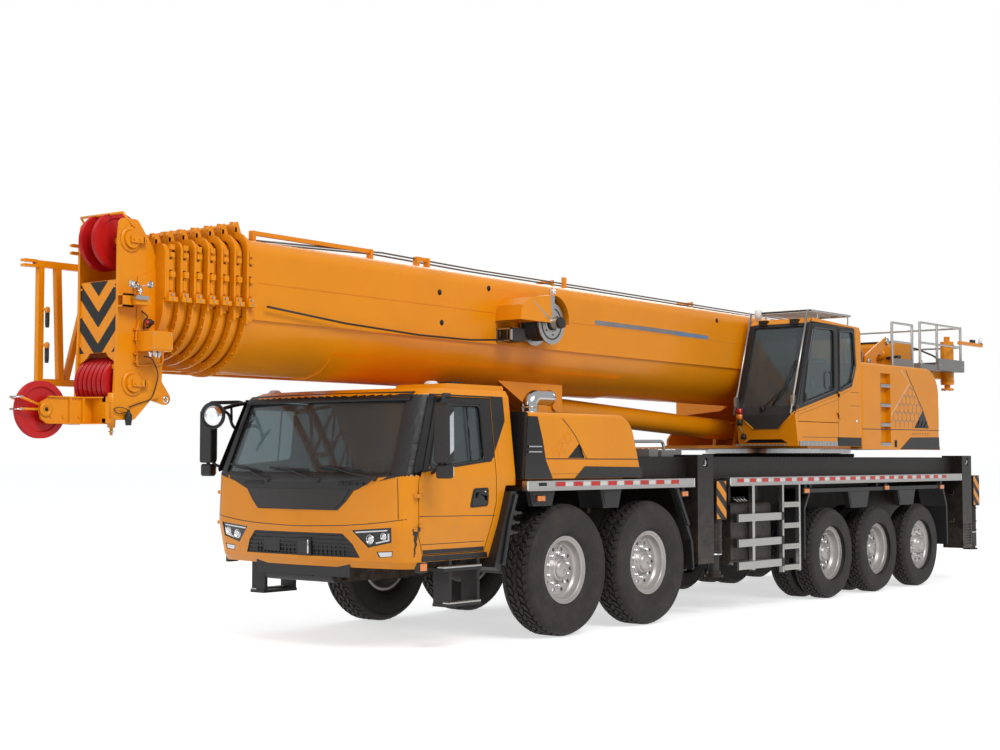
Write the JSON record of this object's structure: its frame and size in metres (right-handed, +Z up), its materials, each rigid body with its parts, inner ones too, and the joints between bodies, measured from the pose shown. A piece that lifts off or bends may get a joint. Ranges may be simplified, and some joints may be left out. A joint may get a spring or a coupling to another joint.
{
  "type": "mobile crane",
  "caption": "Five-axle mobile crane with a telescopic boom, two cabs, side outriggers, steered axles and a folded lattice jib.",
  "frame": {"origin": "on the ground under the middle of the machine's box, wheels standing on Z = 0", "axes": "+X forward, +Y to the driver's left, +Z up"},
  "size_m": [16.9, 3.49, 3.965],
  "materials": {
    "yellow_paint": "gloss",
    "grey_paint": "satin",
    "black_plastic": "matt",
    "aluminium": "satin",
    "glass": "gloss",
    "tyre": "matt",
    "steel": "polished",
    "cast": "matt",
    "red_nylon": "gloss",
    "seat_fabric": "matt"
  },
  "bodies": {
    "chassis": {"chassis_frame": "grey_paint", "frame_nose": "grey_paint", "deck": "grey_paint", "outrigger_housings": "grey_paint", "axle_housings": "cast", "engine_block": "grey_paint", "carrier_cab": "yellow_paint", "carrier_cab_glass": "glass", "carrier_cab_interior": "seat_fabric", "cab_front": "black_plastic", "engine_covers": "yellow_paint", "side_strips": "aluminium", "mudguards": "black_plastic", "steps_and_guards": "aluminium"},
    "superstructure": {"turntable": "yellow_paint", "side_covers": "yellow_paint", "platform_rails": "yellow_paint", "operator_cab": "yellow_paint", "operator_cab_glass": "glass", "operator_cab_interior": "seat_fabric"},
    "operator_door": {"operator_cab_door": "yellow_paint"},
    "carrier_door_left": {"carrier_door_left": "yellow_paint"},
    "carrier_door_right": {"carrier_door_right": "yellow_paint"},
    "boom": {"base_boom": "yellow_paint", "boom_bracket": "yellow_paint", "boom_fittings": "yellow_paint", "jib_frame": "yellow_paint"},
    "section_1": {"boom_section_1": "yellow_paint"},
    "section_2": {"boom_section_2": "yellow_paint"},
    "section_3": {"boom_section_3": "yellow_paint"},
    "section_4": {"boom_section_4": "yellow_paint"},
    "section_5": {"boom_section_5": "yellow_paint"},
    "section_6": {"boom_section_6": "yellow_paint", "head_sheaves": "red_nylon"},
    "luff_barrel": {"luff_barrel": "yellow_paint"},
    "luff_rod": {"luff_rod": "steel"},
    "beam_front_left": {"outrigger_beam_front_left": "grey_paint"},
    "jack_front_left": {"outrigger_jack_front_left": "grey_paint"},
    "beam_front_right": {"outrigger_beam_front_right": "grey_paint"},
    "jack_front_right": {"outrigger_jack_front_right": "grey_paint"},
    "beam_rear_left": {"outrigger_beam_rear_left": "grey_paint"},
    "jack_rear_left": {"outrigger_jack_rear_left": "grey_paint"},
    "beam_rear_right": {"outrigger_beam_rear_right": "grey_paint"},
    "jack_rear_right": {"outrigger_jack_rear_right": "grey_paint"},
    "wheel_1_left": {"wheel_1_left": "tyre"},
    "knuckle_1_left": {"knuckle_1_left": "cast"},
    "wheel_1_right": {"wheel_1_right": "tyre"},
    "knuckle_1_right": {"knuckle_1_right": "cast"},
    "wheel_2_left": {"wheel_2_left": "tyre"},
    "knuckle_2_left": {"knuckle_2_left": "cast"},
    "wheel_2_right": {"wheel_2_right": "tyre"},
    "knuckle_2_right": {"knuckle_2_right": "cast"},
    "wheel_3_left": {"wheel_3_left": "tyre"},
    "wheel_3_right": {"wheel_3_right": "tyre"},
    "wheel_4_left": {"wheel_4_left": "tyre"},
    "wheel_4_right": {"wheel_4_right": "tyre"},
    "wheel_5_left": {"wheel_5_left": "tyre"},
    "knuckle_5_left": {"knuckle_5_left": "cast"},
    "wheel_5_right": {"wheel_5_right": "tyre"},
    "knuckle_5_right": {"knuckle_5_right": "cast"}
  },
  "joints": [
    {"name": "slew", "type": "hinge", "parent": "chassis", "child": "superstructure", "pos_m": [-4.05, 0, 1.9], "axis": [0, 0, 1], "continuous": true},
    {"name": "boom_luff", "type": "hinge", "parent": "superstructure", "child": "boom", "pos_m": [-5.55, 0, 3.05], "axis": [0, -1, 0], "range_deg": [0, 80]},
    {"name": "extend_1", "type": "slide", "parent": "boom", "child": "section_1", "axis": [1, 0, 0.0087], "range_m": [0, 9.8]},
    {"name": "extend_2", "type": "slide", "parent": "section_1", "child": "section_2", "axis": [1, 0, 0.0087], "range_m": [0, 9.8]},
    {"name": "extend_3", "type": "slide", "parent": "section_2", "child": "section_3", "axis": [1, 0, 0.0087], "range_m": [0, 9.8]},
    {"name": "extend_4", "type": "slide", "parent": "section_3", "child": "section_4", "axis": [1, 0, 0.0087], "range_m": [0, 9.8]},
    {"name": "extend_5", "type": "slide", "parent": "section_4", "child": "section_5", "axis": [1, 0, 0.0087], "range_m": [0, 9.8]},
    {"name": "extend_6", "type": "slide", "parent": "section_5", "child": "section_6", "axis": [1, 0, 0.0087], "range_m": [0, 9.8]},
    {"name": "luff_cylinder_tilt", "type": "hinge", "parent": "superstructure", "child": "luff_barrel", "pos_m": [-2.75, 0, 2.2], "axis": [0, -1, 0], "range_deg": [0, 93.93]},
    {"name": "luff_cylinder_stroke", "type": "slide", "parent": "luff_barrel", "child": "luff_rod", "axis": [0.9987, 0, 0.0514], "range_m": [0, 3.4841]},
    {"name": "operator_door_hinge", "type": "hinge", "parent": "superstructure", "child": "operator_door", "pos_m": [-3.016, 1.514, 2.9], "axis": [0, 0, 1], "range_deg": [0, 75]},
    {"name": "carrier_door_left_hinge", "type": "hinge", "parent": "chassis", "child": "carrier_door_left", "pos_m": [5.046, 1.39, 1.5], "axis": [0, 0, -1], "range_deg": [0, 70]},
    {"name": "carrier_door_right_hinge", "type": "hinge", "parent": "chassis", "child": "carrier_door_right", "pos_m": [5.046, -1.39, 1.5], "axis": [0, 0, 1], "range_deg": [0, 70]},
    {"name": "beam_front_left_slide", "type": "slide", "parent": "chassis", "child": "beam_front_left", "axis": [0, 1, 0], "range_m": [0, 1.9]},
    {"name": "jack_front_left_slide", "type": "slide", "parent": "beam_front_left", "child": "jack_front_left", "axis": [0, 0, -1], "range_m": [0, 0.6]},
    {"name": "beam_front_right_slide", "type": "slide", "parent": "chassis", "child": "beam_front_right", "axis": [0, -1, 0], "range_m": [0, 1.9]},
    {"name": "jack_front_right_slide", "type": "slide", "parent": "beam_front_right", "child": "jack_front_right", "axis": [0, 0, -1], "range_m": [0, 0.6]},
    {"name": "beam_rear_left_slide", "type": "slide", "parent": "chassis", "child": "beam_rear_left", "axis": [0, 1, 0], "range_m": [0, 1.9]},
    {"name": "jack_rear_left_slide", "type": "slide", "parent": "beam_rear_left", "child": "jack_rear_left", "axis": [0, 0, -1], "range_m": [0, 0.6]},
    {"name": "beam_rear_right_slide", "type": "slide", "parent": "chassis", "child": "beam_rear_right", "axis": [0, -1, 0], "range_m": [0, 1.9]},
    {"name": "jack_rear_right_slide", "type": "slide", "parent": "beam_rear_right", "child": "jack_rear_right", "axis": [0, 0, -1], "range_m": [0, 0.6]},
    {"name": "steer_1_left", "type": "hinge", "parent": "chassis", "child": "knuckle_1_left", "pos_m": [2.85, 1, 0.68], "axis": [0, 0, 1], "range_deg": [-35, 35]},
    {"name": "wheel_1_left_spin", "type": "hinge", "parent": "knuckle_1_left", "child": "wheel_1_left", "pos_m": [2.85, 1.275, 0.68], "axis": [0, 1, 0], "continuous": true},
    {"name": "steer_1_right", "type": "hinge", "parent": "chassis", "child": "knuckle_1_right", "pos_m": [2.85, -1, 0.68], "axis": [0, 0, 1], "range_deg": [-35.01, 35.01]},
    {"name": "wheel_1_right_spin", "type": "hinge", "parent": "knuckle_1_right", "child": "wheel_1_right", "pos_m": [2.85, -1.275, 0.68], "axis": [0, 1, 0], "continuous": true},
    {"name": "steer_2_left", "type": "hinge", "parent": "chassis", "child": "knuckle_2_left", "pos_m": [1.325, 1, 0.68], "axis": [0, 0, 1], "range_deg": [-24.51, 24.51]},
    {"name": "wheel_2_left_spin", "type": "hinge", "parent": "knuckle_2_left", "child": "wheel_2_left", "pos_m": [1.325, 1.275, 0.68], "axis": [0, 1, 0], "continuous": true},
    {"name": "steer_2_right", "type": "hinge", "parent": "chassis", "child": "knuckle_2_right", "pos_m": [1.325, -1, 0.68], "axis": [0, 0, 1], "range_deg": [-24.51, 24.51]},
    {"name": "wheel_2_right_spin", "type": "hinge", "parent": "knuckle_2_right", "child": "wheel_2_right", "pos_m": [1.325, -1.275, 0.68], "axis": [0, 1, 0], "continuous": true},
    {"name": "wheel_3_left_spin", "type": "hinge", "parent": "chassis", "child": "wheel_3_left", "pos_m": [-2.925, 1.275, 0.59], "axis": [0, 1, 0], "continuous": true},
    {"name": "wheel_3_right_spin", "type": "hinge", "parent": "chassis", "child": "wheel_3_right", "pos_m": [-2.925, -1.275, 0.59], "axis": [0, 1, 0], "continuous": true},
    {"name": "wheel_4_left_spin", "type": "hinge", "parent": "chassis", "child": "wheel_4_left", "pos_m": [-4.275, 1.275, 0.59], "axis": [0, 1, 0], "continuous": true},
    {"name": "wheel_4_right_spin", "type": "hinge", "parent": "chassis", "child": "wheel_4_right", "pos_m": [-4.275, -1.275, 0.59], "axis": [0, 1, 0], "continuous": true},
    {"name": "steer_5_left", "type": "hinge", "parent": "chassis", "child": "knuckle_5_left", "pos_m": [-5.625, 1, 0.59], "axis": [0, 0, 1], "range_deg": [-8.76, 8.76]},
    {"name": "wheel_5_left_spin", "type": "hinge", "parent": "knuckle_5_left", "child": "wheel_5_left", "pos_m": [-5.625, 1.275, 0.59], "axis": [0, 1, 0], "continuous": true},
    {"name": "steer_5_right", "type": "hinge", "parent": "chassis", "child": "knuckle_5_right", "pos_m": [-5.625, -1, 0.59], "axis": [0, 0, 1], "range_deg": [-8.76, 8.76]},
    {"name": "wheel_5_right_spin", "type": "hinge", "parent": "knuckle_5_right", "child": "wheel_5_right", "pos_m": [-5.625, -1.275, 0.59], "axis": [0, 1, 0], "continuous": true}
  ],
  "couplings": [
    {"joint": "luff_cylinder_tilt", "follows": "boom_luff", "ratio": 1.174},
    {"joint": "luff_cylinder_stroke", "follows": "boom_luff", "m_per_rad": 2.4946},
    {"joint": "steer_1_right", "follows": "steer_1_left", "ratio": 1},
    {"joint": "steer_2_left", "follows": "steer_1_left", "ratio": 0.7},
    {"joint": "steer_2_right", "follows": "steer_1_left", "ratio": 0.7},
    {"joint": "steer_5_left", "follows": "steer_1_left", "ratio": -0.25},
    {"joint": "steer_5_right", "follows": "steer_1_left", "ratio": -0.25}
  ]
}
